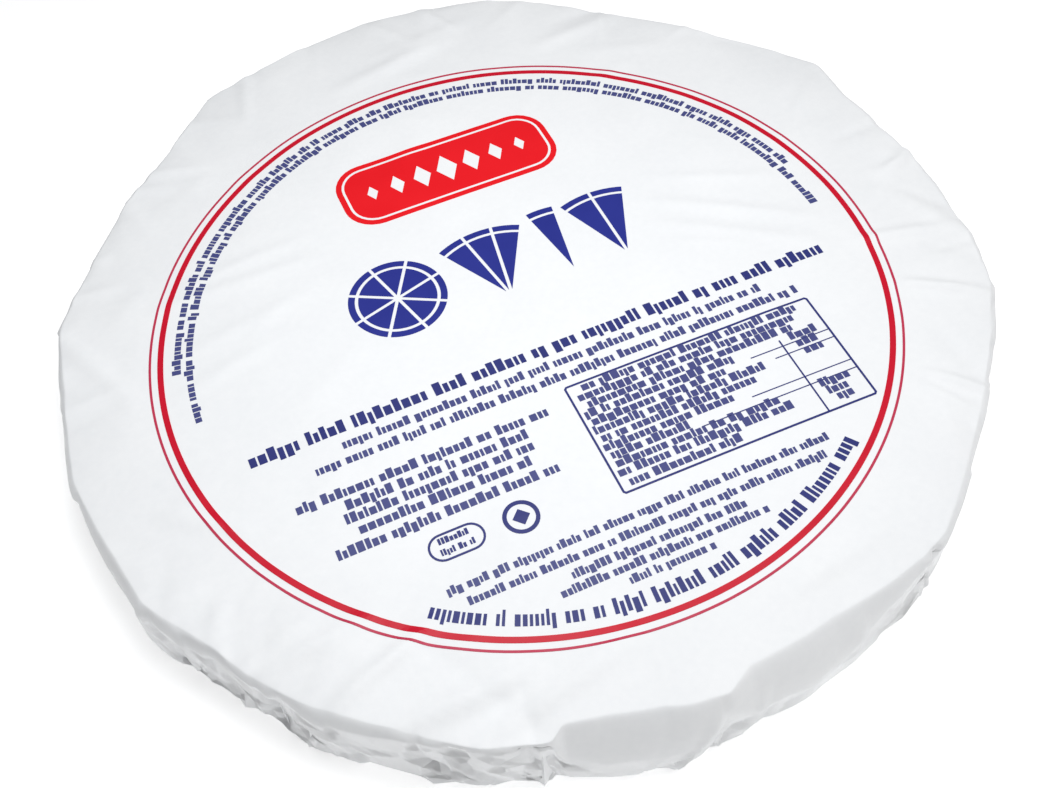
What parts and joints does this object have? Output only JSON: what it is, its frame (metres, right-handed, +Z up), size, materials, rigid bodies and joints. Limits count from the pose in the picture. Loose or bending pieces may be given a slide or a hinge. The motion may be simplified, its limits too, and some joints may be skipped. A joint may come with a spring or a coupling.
{
  "type": "brie",
  "caption": "Whole wheel of brie shut in white printed paper, low and round, with a slightly domed top, a folded paper side and a flat base.",
  "frame": {"origin": "bottom centre of the wheel's bounding box, on the surface it rests on", "axes": "+Z up through the wheel's flat round top, +X along the printed lines on the top, +Y towards the print's upper edge"},
  "size_m": [0.3534, 0.3682, 0.037],
  "materials": {
    "wrap_paper": "white coated wrapping paper, softly satin, thin and crisply folded",
    "red_ink": "flat printed red",
    "blue_ink": "flat printed dark blue"
  },
  "bodies": {
    "root": {"wrapped_wheel": "wrap_paper"}
  },
  "joints": []
}
